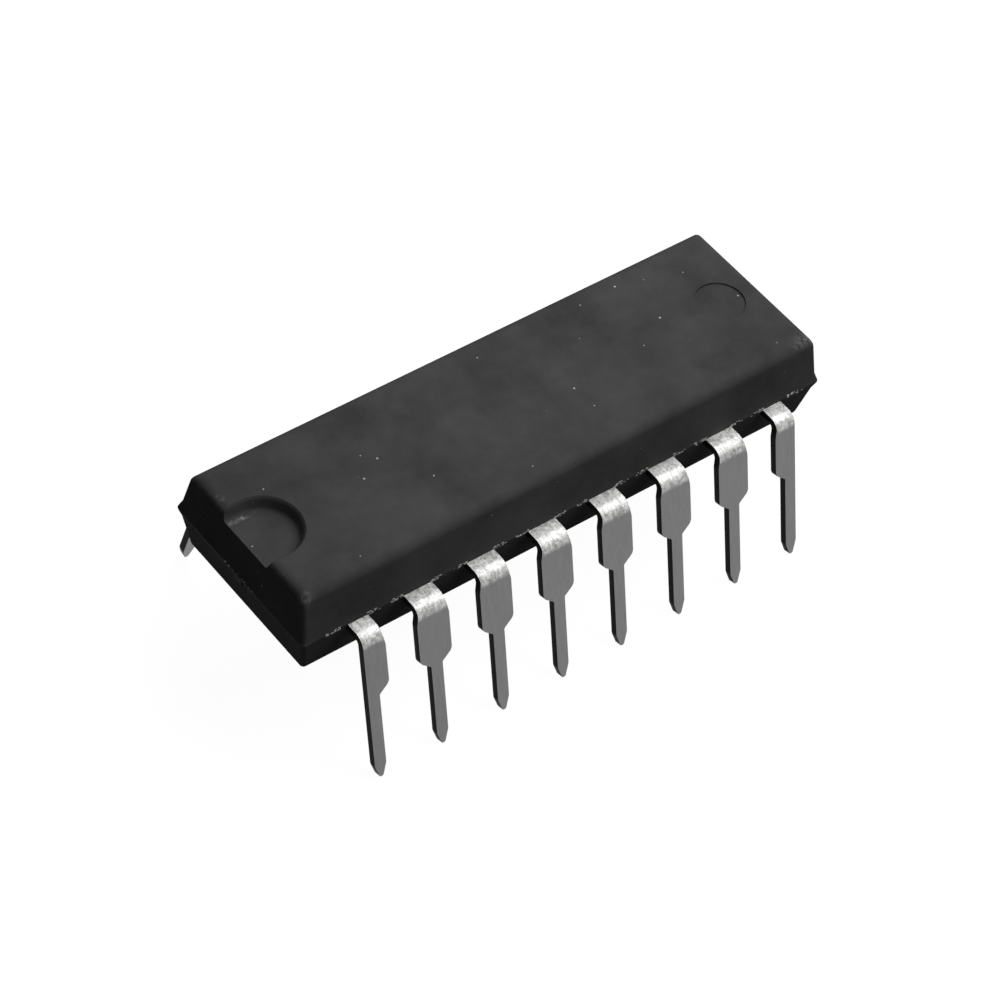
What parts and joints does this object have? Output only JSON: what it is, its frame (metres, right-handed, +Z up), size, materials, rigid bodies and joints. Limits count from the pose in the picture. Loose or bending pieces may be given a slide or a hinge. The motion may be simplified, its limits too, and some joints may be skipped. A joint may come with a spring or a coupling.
{
  "type": "dual in-line integrated circuit",
  "caption": "Dual in-line integrated circuit in a black moulded package with two rows of splayed plated leads, an index notch, and the die on its lead frame inside.",
  "frame": {"origin": "under the middle of the package, in the plane of the lead tips", "axes": "+X along the package away from the index notch, +Z up from the lead tips to the top face; leads 1 to 8 are on the -Y side, lead 1 nearest the notch"},
  "size_m": [0.0218, 0.0116, 0.0075],
  "materials": {
    "mould_compound": "black filled epoxy, as moulded, matt and slightly mottled",
    "plated_lead": "matt tin plate on copper alloy, galled bright over the bends",
    "frame_strip": "bare copper-alloy strip with a silver spot on the paddle",
    "die_attach_paste": "cured silver-filled epoxy",
    "silicon": "passivated silicon, glossy",
    "gold_wire": "drawn gold wire"
  },
  "bodies": {
    "root": {"package_body": "mould_compound", "die_paddle": "frame_strip", "die_attach": "die_attach_paste", "silicon_die": "silicon", "lead_01": "plated_lead", "lead_02": "plated_lead", "lead_03": "plated_lead", "lead_04": "plated_lead", "lead_05": "plated_lead", "lead_06": "plated_lead", "lead_07": "plated_lead", "lead_08": "plated_lead", "lead_09": "plated_lead", "lead_10": "plated_lead", "lead_11": "plated_lead", "lead_12": "plated_lead", "lead_13": "plated_lead", "lead_14": "plated_lead", "lead_15": "plated_lead", "lead_16": "plated_lead", "bond_wire_01": "gold_wire", "bond_wire_02": "gold_wire", "bond_wire_03": "gold_wire", "bond_wire_04": "gold_wire", "bond_wire_05": "gold_wire", "bond_wire_06": "gold_wire", "bond_wire_07": "gold_wire", "bond_wire_08": "gold_wire", "bond_wire_09": "gold_wire", "bond_wire_10": "gold_wire", "bond_wire_11": "gold_wire", "bond_wire_12": "gold_wire", "bond_wire_13": "gold_wire", "bond_wire_14": "gold_wire", "bond_wire_15": "gold_wire", "bond_wire_16": "gold_wire"}
  },
  "joints": []
}
